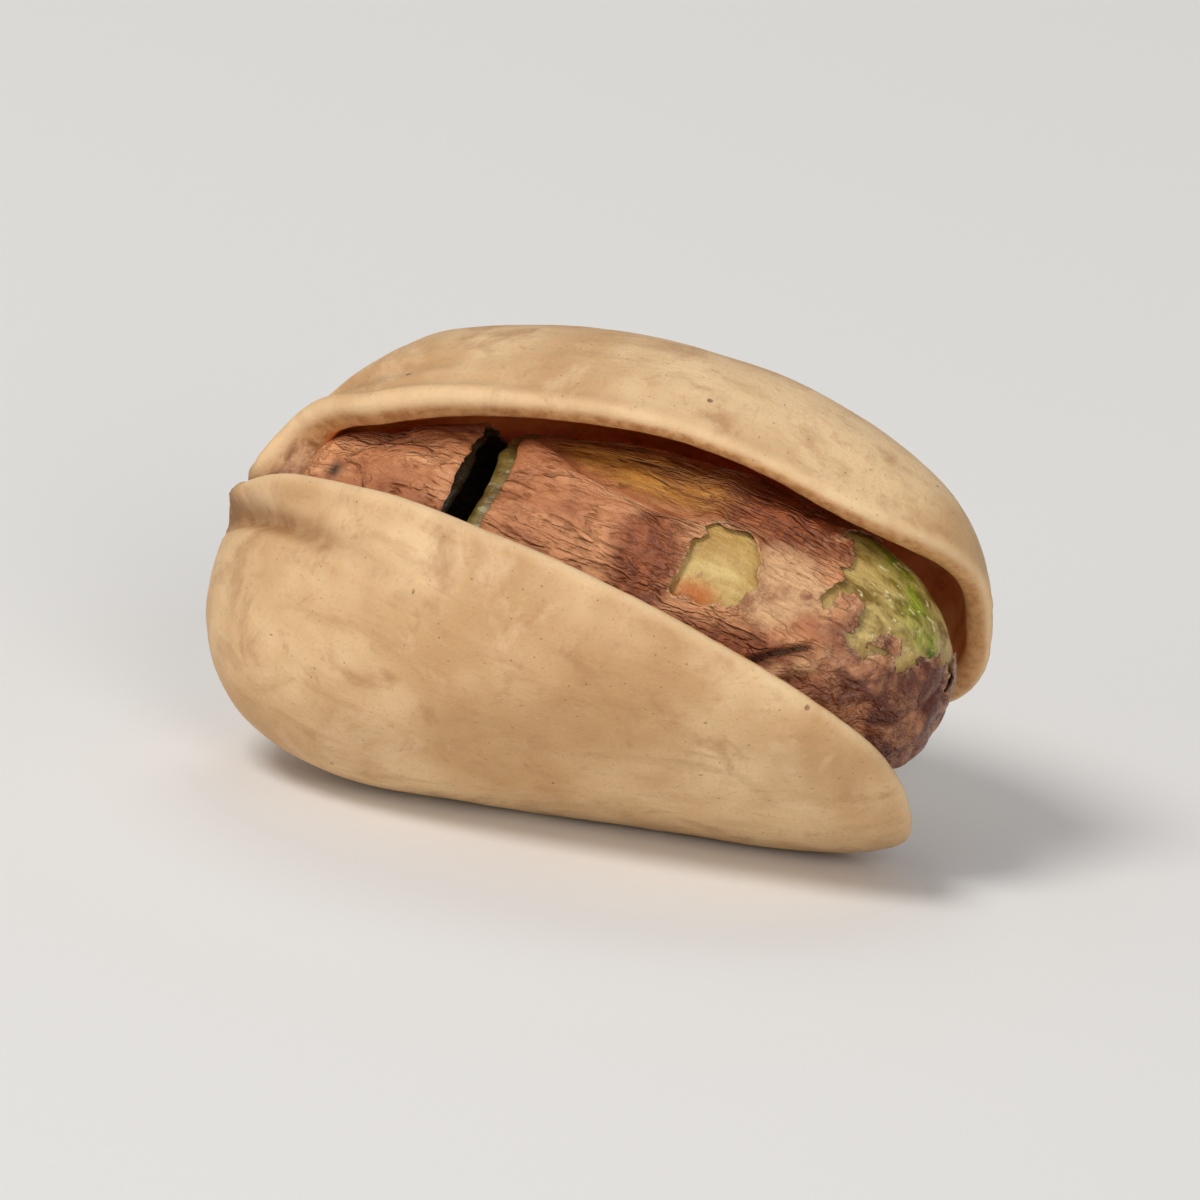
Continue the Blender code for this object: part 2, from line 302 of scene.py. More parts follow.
class Graph:
    """A material and short ways to add nodes to it."""

    def __init__(self, name):
        self.material = bpy.data.materials.new(name)
        self.material.use_nodes = True
        self.tree = self.material.node_tree
        self.shader = self.tree.nodes["Principled BSDF"]

    def feed(self, socket, value):
        if isinstance(value, bpy.types.NodeSocket):
            self.tree.links.new(value, socket)
        else:
            socket.default_value = value

    def node(self, kind, inputs, **settings):
        node = self.tree.nodes.new("ShaderNode" + kind)
        for key, value in settings.items():
            setattr(node, key, value)
        for key, value in inputs.items():
            self.feed(node.inputs[key], value)
        return node

    def layer(self, name, output="Fac"):
        return self.node("Attribute", {}, attribute_name=name).outputs[output]

    def stretched(self, vector, x, y, z):
        return self.node("VectorMath", {0: vector, 1: (x, y, z)}, operation="MULTIPLY").outputs[0]

    def noise(self, vector, scale, detail=3.0, roughness=0.5, warp=0.0):
        inputs = {"Vector": vector, "Scale": scale, "Detail": detail}
        inputs |= {"Roughness": roughness, "Distortion": warp}
        return self.node("TexNoise", inputs).outputs["Fac"]

    def cells(self, vector, scale):
        """Distance from the nearest of scattered points."""
        return self.node("TexVoronoi", {"Vector": vector, "Scale": scale}).outputs["Distance"]

    def crease(self, vector, scale, width):
        """1 on thin wandering lines and 0 off them."""
        off = self.math("ABSOLUTE", self.plus(self.noise(vector, scale, 2.0, 0.5, 0.25), -0.5))
        return self.ramp(off, width * 0.5, 0.0)

    def ramp(self, value, low, high, to_low=0.0, to_high=1.0):
        inputs = {"Value": value, "From Min": low, "From Max": high}
        inputs |= {"To Min": to_low, "To Max": to_high}
        return self.node("MapRange", inputs, interpolation_type="SMOOTHSTEP").outputs["Result"]

    def math(self, operation, a, b=0.0):
        return self.node("Math", {0: a, 1: b}, operation=operation).outputs[0]

    def times(self, *values):
        total = values[0]
        for value in values[1:]:
            total = self.math("MULTIPLY", total, value)
        return total

    def plus(self, *values):
        total = values[0]
        for value in values[1:]:
            total = self.math("ADD", total, value)
        return total

    def mix(self, a, b, share, blend="MIX"):
        node = self.node("Mix", {}, data_type="RGBA", blend_type=blend)
        self.feed(node.inputs[0], share)
        self.feed(node.inputs[6], a)
        self.feed(node.inputs[7], b)
        return node.outputs[2]

    def bump(self, height, distance, strength=1.0):
        inputs = {"Height": height, "Distance": distance * MM, "Strength": strength}
        self.feed(self.shader.inputs["Normal"], self.node("Bump", inputs).outputs[0])


# ---------------------------------------------------------------- materials


def shell_material():
    g = Graph("pistachio_shell")
    place = g.layer("nut", "Vector")
    inside, stem, groove = g.layer("inside"), g.layer("stem"), g.layer("groove")
    grain = g.stretched(place, 0.14, 1.0, 1.0)
    broad = g.noise(place, 0.20, 3.0, 0.55)
    patch = g.noise(place, 0.42, 5.0, 0.62, 0.5)
    smudge = g.noise(place, 1.3, 5.0, 0.68, 0.3)
    streak = g.noise(grain, 1.5, 4.0, 0.6, 0.3)
    dust = g.noise(place, 9.0, 3.0, 0.65)
    pores = g.times(g.ramp(g.cells(place, 3.6), 0.10, 0.03), g.ramp(dust, 0.42, 0.55))
    speckled = g.ramp(g.noise(place, 2.2, 1.0), 0.54, 0.62)
    specks = g.times(g.ramp(g.cells(place, 1.05), 0.10, 0.04), speckled)

    colour = g.mix(tone(200, 158, 110), tone(232, 198, 152), g.ramp(broad, 0.36, 0.64))
    colour = g.mix(colour, tone(172, 122, 78), g.ramp(patch, 0.53, 0.72, 0.0, 0.66))
    colour = g.mix(colour, tone(238, 206, 166), g.ramp(patch, 0.46, 0.30, 0.0, 0.45))
    colour = g.mix(colour, tone(176, 124, 78), g.ramp(smudge, 0.54, 0.76, 0.0, 0.48))
    colour = g.mix(colour, tone(182, 138, 92), g.ramp(streak, 0.52, 0.72, 0.0, 0.40))
    colour = g.mix(colour, tone(184, 142, 98), g.ramp(dust, 0.54, 0.74, 0.0, 0.40))
    colour = g.mix(colour, tone(134, 94, 56), g.times(pores, 0.6))
    colour = g.mix(colour, tone(98, 66, 42), g.times(specks, 0.75))
    # paler along the lips, partly wear and partly a painted highlight on the rim's edge; browner in
    # the furrow as painted shade; browner at the stem scar, its own colour
    lip_wear_and_highlight = g.times(g.layer("lip"), g.ramp(smudge, 0.30, 0.70, 0.40, 0.75))
    colour = g.mix(colour, tone(240, 208, 164), lip_wear_and_highlight)
    # painted shade: browner along the furrow under the lip
    painted_furrow_shade = g.times(groove, g.ramp(smudge, 0.30, 0.65, 0.55, 0.95))
    colour = g.mix(colour, tone(150, 100, 58), painted_furrow_shade)
    scar = g.noise(g.stretched(place, 0.5, 1.0, 1.0), 2.4, 5.0, 0.7)
    scar_tone = g.mix(tone(92, 60, 38), tone(168, 124, 82), g.ramp(scar, 0.35, 0.65))
    colour = g.mix(colour, scar_tone, g.times(stem, g.ramp(scar, 0.25, 0.60, 0.55, 1.0)))
    # the rim's narrow face, and the rough broad one at the mouth's inner corner
    rim_noise = g.noise(place, 2.6, 5.0, 0.65)
    edge_tone = g.mix(tone(186, 130, 78), tone(214, 166, 112), g.ramp(rim_noise, 0.35, 0.62))
    colour = g.mix(colour, edge_tone, g.layer("edge"))
    suture_tone = g.mix(tone(124, 86, 66), tone(206, 164, 130), g.ramp(rim_noise, 0.36, 0.62))
    colour = g.mix(colour, suture_tone, g.layer("suture"))
    # the smooth, warm lining; its strong orange is partly its own tone and partly painted glow of
    # light through the thin shell, and it is lighter towards the tip as painted light
    lining_noise = g.noise(g.stretched(place, 0.3, 1.0, 1.0), 0.9, 4.0, 0.55)
    lining = g.mix(tone(216, 108, 30), tone(244, 156, 62), g.ramp(lining_noise, 0.32, 0.68))
    painted_tip_light = g.times(g.layer("tipward"), g.ramp(lining_noise, 0.30, 0.65, 0.35, 0.9))
    lining = g.mix(lining, tone(246, 194, 132), painted_tip_light)
    lining = g.mix(lining, tone(176, 92, 34), g.ramp(smudge, 0.56, 0.75, 0.0, 0.45))
    colour = g.mix(colour, lining, inside)
    g.feed(g.shader.inputs["Base Color"], colour)
    rough = g.ramp(dust, 0.30, 0.70, 0.50, 0.66)
    rough = g.plus(rough, g.times(inside, -0.10), g.times(stem, 0.18))
    g.feed(g.shader.inputs["Roughness"], rough)
    g.shader.inputs["Specular IOR Level"].default_value = 0.36
    g.shader.inputs["Subsurface Weight"].default_value = 0.22
    g.shader.inputs["Subsurface Radius"].default_value = (1.0, 0.42, 0.16)
    g.shader.inputs["Subsurface Scale"].default_value = 0.9 * MM
    height = g.plus(
        g.times(streak, 0.8),
        g.times(smudge, 0.5),
        g.times(dust, 0.30),
        g.times(g.noise(place, 24.0, 2.0, 0.6), 0.14),
        g.times(pores, -0.6),
        g.times(specks, -0.9),
        g.times(stem, scar, 3.0),
        g.times(g.layer("suture"), rim_noise, 2.0),
    )
    g.bump(height, 0.06)
    return g.material


def skin_material():
    g = Graph("seed_skin")
    place = g.layer("nut", "Vector")
    tip, pale, torn, golden_and_shade = g.layer("tip"), g.layer("pale"), g.layer("torn"), g.layer("golden_and_shade")
    grain = g.stretched(place, 0.22, 1.0, 1.0)
    broad = g.noise(grain, 0.65, 4.0, 0.6)
    blotch = g.noise(grain, 1.7, 5.0, 0.66, 0.5)
    fine = g.noise(place, 8.0, 4.0, 0.65)
    flaky = g.noise(place, 2.6, 5.0, 0.72)
    coarse_line = g.times(g.crease(grain, 1.7, 0.14), g.ramp(g.noise(place, 1.3, 2.0), 0.42, 0.60))
    fine_line = g.times(g.crease(grain, 4.2, 0.16), g.ramp(broad, 0.40, 0.60))

    calm = g.plus(1.0, g.times(pale, -0.6), g.times(tip, -0.5))
    colour = g.mix(tone(176, 106, 62), tone(226, 158, 108), g.ramp(broad, 0.34, 0.66))
    colour = g.mix(colour, tone(134, 70, 38), g.ramp(blotch, 0.52, 0.70, 0.0, 0.75))
    colour = g.mix(colour, tone(242, 186, 138), g.ramp(blotch, 0.44, 0.28, 0.0, 0.60))
    red_tone = g.mix(tone(108, 44, 16), tone(162, 84, 40), g.ramp(flaky, 0.36, 0.64))
    colour = g.mix(colour, red_tone, g.layer("red"))
    # behind the fold: olive-gold skin, partly its own colour and partly painted shade under the hood
    gilt = g.ramp(g.noise(grain, 1.6, 5.0, 0.66, 0.5), 0.36, 0.66)
    golden_and_shade_tone = g.mix(tone(136, 74, 20), tone(204, 144, 62), gilt)
    colour = g.mix(colour, golden_and_shade_tone, golden_and_shade)
    # the tip's red-brown skin, with lighter blotches that are partly its own mottling and partly
    # painted highlight
    tip_mottle_and_highlight = g.ramp(g.noise(place, 1.1, 5.0, 0.65, 0.4), 0.40, 0.66)
    tip_tone = g.mix(tone(94, 40, 16), tone(186, 124, 84), tip_mottle_and_highlight)
    colour = g.mix(colour, tip_tone, tip)
    # the papery membrane's lighter tone, also used as a painted highlight on the raised lip under the
    # fissure
    papery = g.ramp(g.noise(place, 1.3, 4.0, 0.55, 0.3), 0.36, 0.60)
    pale_tone = g.mix(tone(150, 94, 56), tone(222, 172, 124), papery)
    colour = g.mix(colour, pale_tone, pale)
    # painted shade in the wrinkles' creases
    colour = g.mix(colour, tone(92, 46, 26), g.times(coarse_line, calm, 0.30))
    colour = g.mix(colour, tone(104, 56, 34), g.times(fine_line, calm, 0.20))
    colour = g.mix(colour, tone(122, 70, 44), g.ramp(fine, 0.57, 0.76, 0.0, 0.55))
    colour = g.mix(colour, tone(228, 186, 142), g.times(torn, g.ramp(flaky, 0.42, 0.66, 0.0, 0.80)))
    # a brown-black spot near the stem, the kernel's own mark, and painted shade in the fissure
    colour = g.mix(colour, tone(42, 20, 12), g.layer("spot_and_fissure_shade"))
    g.feed(g.shader.inputs["Base Color"], colour)
    gloss = g.ramp(g.noise(place, 3.0, 3.0, 0.6), 0.35, 0.65, 0.40, 0.60)
    g.feed(g.shader.inputs["Roughness"], g.plus(gloss, g.times(tip, -0.26)))
    g.shader.inputs["Specular IOR Level"].default_value = 0.5
    height = g.plus(
        g.times(coarse_line, calm, -0.9),
        g.times(fine_line, calm, -0.5),
        g.times(blotch, 0.7),
        g.times(flaky, 0.5),
        g.times(fine, 0.35),
        g.times(g.noise(place, 20.0, 2.0, 0.6), 0.15),
    )
    g.bump(height, 0.11)
    return g.material


def kernel_material():
    g = Graph("kernel_flesh")
    place = g.layer("nut", "Vector")
    grain = g.stretched(place, 0.30, 1.0, 1.0)
    broad = g.noise(grain, 0.9, 4.0, 0.6)
    fine = g.noise(place, 6.0, 4.0, 0.65)
    leafy_noise = g.noise(grain, 1.8, 4.0, 0.6, 0.4)
    colour = g.mix(tone(184, 144, 74), tone(222, 192, 122), g.ramp(broad, 0.35, 0.62))
    brown = g.ramp(g.noise(place, 2.4, 5.0, 0.7), 0.55, 0.70, 0.0, 0.6)
    colour = g.mix(colour, tone(160, 112, 66), brown)
    leafy = g.mix(tone(132, 104, 40), tone(206, 178, 108), g.ramp(leafy_noise, 0.38, 0.60))
    colour = g.mix(colour, leafy, g.layer("green"))
    streaked = g.ramp(g.noise(grain, 3.6, 3.0, 0.6), 0.40, 0.62)
    vivid_tone = g.mix(tone(96, 112, 4), tone(160, 172, 48), streaked)
    uneven = g.ramp(g.noise(place, 2.2, 4.0, 0.6), 0.38, 0.58, 0.45, 1.0)
    vivid_here = g.times(g.layer("vivid"), uneven)
    colour = g.mix(colour, vivid_tone, vivid_here)
    colour = g.mix(colour, tone(190, 106, 30), g.layer("orange"))
    flecks = g.ramp(g.noise(grain, 4.4, 3.0, 0.6), 0.60, 0.70)
    colour = g.mix(colour, tone(240, 228, 176), g.times(g.layer("green"), flecks))
    # painted shade on the kernel's broken faces and along the break between its pieces
    colour = g.mix(colour, tone(24, 18, 8), g.layer("crack_shade"))
    colour = g.mix(colour, tone(140, 100, 52), g.ramp(fine, 0.58, 0.78, 0.0, 0.45))
    g.feed(g.shader.inputs["Base Color"], colour)
    g.feed(g.shader.inputs["Roughness"], g.ramp(fine, 0.35, 0.65, 0.34, 0.52))
    g.shader.inputs["Specular IOR Level"].default_value = 0.5
    fibres = g.noise(grain, 4.0, 4.0, 0.6)
    height = g.plus(g.times(leafy_noise, 0.8), g.times(fibres, 0.8), g.times(fine, 0.5))
    g.bump(height, 0.08)
    return g.material


def floor_material():
    g = Graph("pale_floor")
    place = g.node("TexCoord", {}).outputs["Object"]
    cloud = g.noise(place, 6.0, 3.0, 0.5)
    g.feed(g.shader.inputs["Base Color"], g.mix(tone(231, 230, 228), tone(236, 235, 234), cloud))
    g.shader.inputs["Roughness"].default_value = 0.85
    g.shader.inputs["Specular IOR Level"].default_value = 0.2
    return g.material


# ---------------------------------------------------------------- shell


def rim_stations():
    """u and side of the mouth (1 front seam, -1 back seam) at even steps round the closed rim."""
    dense = np.linspace(0, math.pi, RIM_SAMPLES)
    walks = []
    for phi in (0.0, math.pi):
        rim = closed_shell(dense, phi, -1, 0.0)
        walks.append(np.concatenate([[0], np.cumsum(np.linalg.norm(np.diff(rim, axis=0), axis=1))]))
    steps = np.arange(RIM_STATIONS) / RIM_STATIONS
    front = np.interp(steps * walks[0][-1], walks[0], dense)
    back = np.interp((1 - steps) * walks[1][-1], walks[1], dense)
    return np.concatenate([front, back]), np.repeat([1.0, -1.0], RIM_STATIONS)


def on_dome(rim_u, mouth, beta):
    """(u, phi) of points that lie beta up the dome from the rim; pi/2 is its crown."""
    inward = np.cos(beta)
    u = np.arccos(np.clip(inward * np.cos(rim_u), -1, 1))
    width = shell_width(u)
    wanted = inward * mouth * shell_width(rim_u)
    share = np.where(width > TINY, wanted / np.maximum(width, TINY), 0.0)
    return u, np.arccos(np.clip(share, -1, 1))


def along_rim_from(points, joined):
    """How far each open station lies along the rim from where the seam has split."""
    step = np.linalg.norm(points - np.roll(points, 1, axis=0), axis=1)
    count = len(points)
    far = np.full(count, FAR)
    for start in np.flatnonzero(joined & ~np.roll(joined, -1)):  # forwards
        walked = 0.0
        for k in range(1, count):
            i = (start + k) % count
            walked += step[i]
            far[i] = min(far[i], walked)
    for start in np.flatnonzero(joined & ~np.roll(joined, 1)):  # backwards
        walked = 0.0
        for k in range(1, count):
            i = (start - k) % count
            walked += step[(i + 1) % count]
            far[i] = min(far[i], walked)
    return np.where(joined, 0.0, far)


def build_shell(material):
    rim_u, mouth = rim_stations()
    seam = closed_shell(rim_u, np.where(mouth > 0, 0.0, math.pi), -1, 0.0)
    joined = past_hinge(seam) <= JOINED_REACH
    web = joined & ~(np.roll(joined, 1) & np.roll(joined, -1))
    split_far = along_rim_from(seam, joined)
    rounding = EDGE_ROUNDING * smooth(0.0, 1.6, split_far)
    edge_wall = WALL - (WALL - EDGE_WALL) * smooth(0.0, 3.0, split_far)
    broad = smooth(0.0, 0.7, split_far) * (1 - smooth(1.0, 3.6, split_far)) * (mouth > 0)
    hood = smooth(HOOD_START, HOOD_FULL, seam[:, 0] + HALF_LENGTH)
    upper_extra = SUTURE_FACE * broad + HOOD_FACE * hood
    columns = OUTER_COLUMNS + EDGE_COLUMNS + INNER_COLUMNS
    count = len(rim_u)
    U, Mouth = rim_u[:, None], mouth[:, None]

    halves, layers = {}, {}
    for side in (-1, 1):
        near = half_shell(*on_dome(U, Mouth, np.full((count, 1), PROBE_BETA)), side, 0.0)
        flat = half_shell(*on_dome(U, Mouth, np.zeros((count, 1))), side, 0.0)
        per_beta = np.linalg.norm(near - flat, axis=-1) / PROBE_BETA  # mm for one unit of beta
        beta_start = np.minimum(rounding[:, None] / per_beta, MOST_EDGE_BETA)
        down = np.linspace(0, 1, OUTER_COLUMNS)[None, :]
        down = down * (1.5 - 0.5 * down)  # closer together near the rim
        outer_beta = math.pi / 2 + (beta_start - math.pi / 2) * down
        theta = (np.arange(1, EDGE_COLUMNS + 1) / (EDGE_COLUMNS + 1) * math.pi)[None, :]
        edge_beta = beta_start * (1 - np.abs(np.sin(theta)) ** EDGE_SQUARENESS)
        across = np.sign(np.cos(theta)) * np.abs(np.cos(theta)) ** EDGE_SQUARENESS
        rim_wall = (edge_wall + (upper_extra if side > 0 else 0.0))[:, None]
        edge_inset = rim_wall / 2 * (1 - across)
        up = np.linspace(0, 1, INNER_COLUMNS)[None, :]
        inner_beta = beta_start + (math.pi / 2 - beta_start) * up
        thick = smooth(0.0, THINNING_REACH, inner_beta * per_beta)
        inner_inset = rim_wall + (WALL - rim_wall) * thick
        beta = np.concatenate([outer_beta, edge_beta, inner_beta], axis=1)
        inset = np.concatenate([np.zeros_like(outer_beta), edge_inset, inner_inset], axis=1)
        u, phi = on_dome(U, Mouth, beta)
        halves[side] = half_shell(u, phi, side, inset)
        layers[side] = {
            "nut": closed_shell(u, phi, side, inset),
            "seam_far": beta * per_beta,
            "broad": broad[:, None] * (side > 0) + 0 * beta,
            "side": np.full_like(beta, side),
            "split_far": split_far[:, None] + 0 * beta,
            "mouth": mouth[:, None] + 0 * beta,
        }

    numbers = np.arange(2 * count * columns).reshape(2, count, columns)
    ids = {-1: numbers[0], 1: numbers[1]}
    first_edge, first_inner = OUTER_COLUMNS, OUTER_COLUMNS + EDGE_COLUMNS
    for side in (-1, 1):
        ids[side][:, 0] = ids[side][0, 0]
        ids[side][:, -1] = ids[side][0, -1]
    for column in (first_edge - 1, first_inner):
        ids[1][joined, column] = ids[-1][joined, column]
    ids[1][web, first_edge:first_inner] = ids[-1][web, first_edge:first_inner]

    faces = []
    nxt = np.roll(np.arange(count), -1)
    both_joined = joined & joined[nxt]
    for side in (-1, 1):
        ring = np.concatenate([ids[side], ids[side][:1]])
        parts = [grid_faces(ring[:, :first_edge]), grid_faces(ring[:, first_inner:])]
        here, there = ids[side][~both_joined], ids[side][nxt][~both_joined]
        span = slice(first_edge - 1, first_inner + 1)
        a, b = here[:, span][:, :-1], here[:, span][:, 1:]
        d, c = there[:, span][:, :-1], there[:, span][:, 1:]
        parts.append(tidy_faces(np.stack([a.ravel(), b.ravel(), c.ravel(), d.ravel()], -1)))
        part = np.concatenate(parts)
        faces.append(part if side < 0 else flipped(part))
    faces = np.concatenate(faces)

    points = np.concatenate([halves[side].reshape(-1, 3) for side in (-1, 1)])
    layer = {}
    for key in layers[-1]:
        pair = [layers[side][key] for side in (-1, 1)]
        layer[key] = np.concatenate([values.reshape(-1, *values.shape[2:]) for values in pair])
    faces = face_out(points, faces)

    # where each vertex is on the wall
    column = np.tile(np.arange(columns), 2 * count)
    outer = column < first_edge
    edge_place = np.clip((column - first_edge + 1) / (EDGE_COLUMNS + 1), 0, 1)  # 0 outer, 1 inner
    nut, far, side = layer["nut"], layer["seam_far"], layer["side"]
    x, split = nut[:, 0], layer["split_far"]
    stemward = 1 - smooth(-6.5, 1.5, x)
    on_outer = 1 - smooth(0.1, 0.55, edge_place)
    corner = seam[np.flatnonzero(web & (mouth > 0))[0]]
    front = np.where(layer["mouth"] > 0, 1.0, 0.55)
    from_corner = np.linalg.norm(nut - corner, axis=1)
    # a rolled lip along the rim, and a furrow under it that runs out from the mouth's inner corner
    ridge = hump(far, LIP_AT, LIP_WIDTH) * (0.30 + 0.70 * stemward) * front
    ridge = ridge * smooth(0.0, 0.9, split)
    furrow_at = FURROW_AT + FURROW_SLANT * from_corner
    furrow = hump(far, furrow_at, FURROW_WIDTH) * front * smooth(0.1, 1.0, split)
    furrow = furrow * (1 - smooth(*FURROW_REACH, from_corner))
    furrow = furrow * np.where(side > 0, 0.45, 1.0)
    slit = hump(far, 0.0, SLIT_WIDTH) * (split == 0) * smooth(-10.1, -9.6, x)
    nub = hump(np.linalg.norm(nut - corner - NUB_OFFSET, axis=1), 0.0, NUB_SIZE) * (side < 0)
    from_stem = np.linalg.norm(nut - np.array([-HALF_LENGTH, 0.0, 0.0]), axis=1)
    stem = (1 - smooth(0.9, 2.0, from_stem + 0.5 * noise(nut, 0.8, 21))) * on_outer
    swell = 0.09 * noise(nut, 5.5, 3) + 0.035 * noise(nut, 2.1, 5)
    ribs = 0.026 * layered(nut * np.array([0.16, 1, 1]), 1.1, 7, 3)
    ribs = ribs + 0.006 * layered(nut, 0.5, 9, 2)
    rise = RIDGE_RISE * ridge - FURROW_DEPTH * furrow - SLIT_DEPTH * slit + NUB_RISE * nub
    rise = rise + swell + ribs
    rise = rise + stem * (0.07 * layered(nut, 0.45, 23, 3) - 0.05)
    lining = 0.02 * noise(nut, 1.7, 11) + 0.006 * noise(nut, 0.4, 13)
    rim_face = hump(edge_place, 0.5, 0.30) * (split > 0)
    rough_face = (0.008 + 0.06 * layer["broad"]) * layered(nut, 0.45, 31, 3) * rim_face
    points = points + vertex_normals(points, faces) * (
        on_outer * rise + (1 - on_outer) * lining + rough_face
    )[:, None]

    world = laid(points)
    z = world[:, 2]
    world[:, 2] = np.where(outer, (z + np.sqrt(z * z + FLAT_ROUNDING**2)) / 2, z)
    face = smooth(0.22, 0.45, edge_place) * (1 - smooth(0.72, 0.95, edge_place)) * (split > 0)
    new_layers = {
        "nut": nut,
        "inside": smooth(0.62, 0.95, edge_place),
        "edge": face,
        "suture": face * layer["broad"],
        # the band along the rim that is painted lighter: partly wear, partly painted highlight on the
        # rim's edge
        "lip": np.clip(hump(far, 0.12, 0.22) * on_outer * smooth(0.0, 1.0, split), 0, 1),
        # towards the tip, where the lining is painted lighter as light
        "tipward": smooth(2.0, 9.0, x),
        # the furrow, which carries painted shade in the shell's colour
        "groove": np.clip(furrow * on_outer, 0, 1),
        "stem": np.clip(stem, 0, 1),
    }
    return new_piece("nut_shell", world, faces, material, new_layers)


# ---------------------------------------------------------------- kernel and its skin


def kernel_surface(v, psi, offset):
    along = np.cos(v)
    across = np.sin(v) ** (KERNEL_BLUNTNESS - KERNEL_STEM_BLUNTNESS * along)
    taper = across * (1 + KERNEL_TAPER * along)
    x = -(KERNEL_HALF_LENGTH + offset) * along
    y = -(KERNEL_HALF_WIDTH + offset) * taper * np.cos(psi)
    z = (KERNEL_HALF_DEPTH + offset) * taper * np.sin(psi)
    return np.stack([x, y, z], -1) @ rotation("Y", -KERNEL_LIFT).T + KERNEL_PLACE


def break_angle(psi, shift):
    x = BREAK_X + shift - BREAK_LEAN * KERNEL_HALF_DEPTH * np.sin(psi)
    x = x + BREAK_WAVE * np.sin(BREAK_WAVES * psi + BREAK_WAVE_TURN)
    return np.arccos(-x / KERNEL_HALF_LENGTH)


KERNEL_RINGS, KERNEL_SPOKES, STEM_RINGS, CAP_RINGS = 190, 300, 60, 18
MAIN, STEM = "main", "stem"
AROUND = 3.8  # mm round the kernel for one unit of psi, near its middle

# Places on the kernel: mm along its axis from its middle, and degrees round it from the mouth side.
FOLD = [(-4.6, 58.0), (-3.4, 40.0), (-1.6, 21.0), (0.6, 12.0), (2.4, 13.0)]
FISSURE = [(4.3, -37.0), (5.0, -28.0), (6.1, -18.0)]
FRONT_WINDOW = (2.85, -1.0, 0.92, 1.20)  # centre, and half sizes in mm
TIP_WINDOW = (6.95, 70.0, 1.62, 5.50)
MEMBRANE = (4.65, 0.0, 1.25, 1.25)
GREEN_EDGE = [(5.8, 62.0), (6.8, 54.0), (7.7, 40.0), (8.35, 18.0)]
ORANGE_SPOT = (2.65, -15.0, 0.80, 0.55)
STEM_SPOT = (-7.8, 4.0)
# These redder patches of skin end with how far out each has faded, as a share of its half sizes.
RED_PATCHES = [
    (1.15, -9.0, 1.0, 1.5, 1.3),
    (3.9, 44.0, 2.6, 1.9, 1.2),
    (3.9, -36.0, 2.6, 1.15, 1.3),
]
BREAK_DEPTH = {MAIN: 0.3, STEM: 1.7}  # how far each broken face is hollowed
SKIN_HELD_BACK = {MAIN: 0.68, STEM: -0.04}  # from the broken edge of the flesh


def kernel_coordinates(piece, back_off):
    """v and psi over one piece, from its pole to its broken edge, held back by this much."""
    psi = np.linspace(-math.pi, math.pi, KERNEL_SPOKES, endpoint=False)[None, :]
    rings = KERNEL_RINGS if piece == MAIN else STEM_RINGS
    share = np.linspace(0, 1, rings + 1)[:, None]
    jag_at = np.stack([3 * np.cos(psi), 3 * np.sin(psi), 0 * psi], -1)
    jag = 0.09 * layered(jag_at, 1.0, 51, 3) - 0.10 * hump(psi, math.radians(28), 0.35)
    if piece == STEM:
        return share * break_angle(psi, jag - back_off), psi + 0 * share
    edge = break_angle(psi, BREAK_GAP + jag + back_off)
    return math.pi + share * (edge - math.pi), psi + 0 * share


def path_distance(place, psi, path):
    """Distance from a path over the kernel in mm, share along it, and side (over 0 at higher psi)."""
    px, py = place, psi * AROUND
    nearest, share, side = np.full(np.shape(place), FAR), 0.0, 1.0
    for k, ((x0, a0), (x1, a1)) in enumerate(zip(path, path[1:])):
        ax, ay = x0, math.radians(a0) * AROUND
        bx, by = x1 - ax, math.radians(a1) * AROUND - ay
        t = np.clip(((px - ax) * bx + (py - ay) * by) / (bx * bx + by * by), 0, 1)
        far = np.hypot(px - ax - t * bx, py - ay - t * by)
        closer = far < nearest
        share = np.where(closer, (k + t) / (len(path) - 1), share)
        side = np.where(closer, np.sign(bx * (py - ay) - by * (px - ax)), side)
        nearest = np.where(closer, far, nearest)
    return nearest, share, side


def oval(place, psi, centre, angle, half_long, half_wide):
    """1 on the edge of an oval patch of the kernel, 0 at its centre."""
    return np.hypot((place - centre) / half_long, (psi - math.radians(angle)) * AROUND / half_wide)


def ends_of(share):
    return smooth(0.0, 0.15, share) * (1 - smooth(0.85, 1.0, share))


def ball_of(v, psi):
    """Points for noise, and the place along the kernel's axis."""
    return kernel_surface(v, psi, 0.0) - KERNEL_PLACE, -KERNEL_HALF_LENGTH * np.cos(v)


def fold_step(place, psi):
    """The kernel's front lobe stands proud of the one behind it, with a step along the fold."""
    far, share, side = path_distance(place, psi, FOLD)
    signed = far * side
    fade = smooth(-0.05, 0.10, share) * (1 - smooth(0.80, 1.0, share))
    behind = smooth(-0.05, 0.42, signed) * (1 - 0.75 * smooth(0.7, 2.6, signed))
    return fade * (0.10 * hump(signed, -0.22, 0.30) - 0.40 * behind)


def stem_point(place):
    """The kernel's stem end draws out to a blunt point."""
    return 0.75 * smooth(-7.1, -8.6, place)


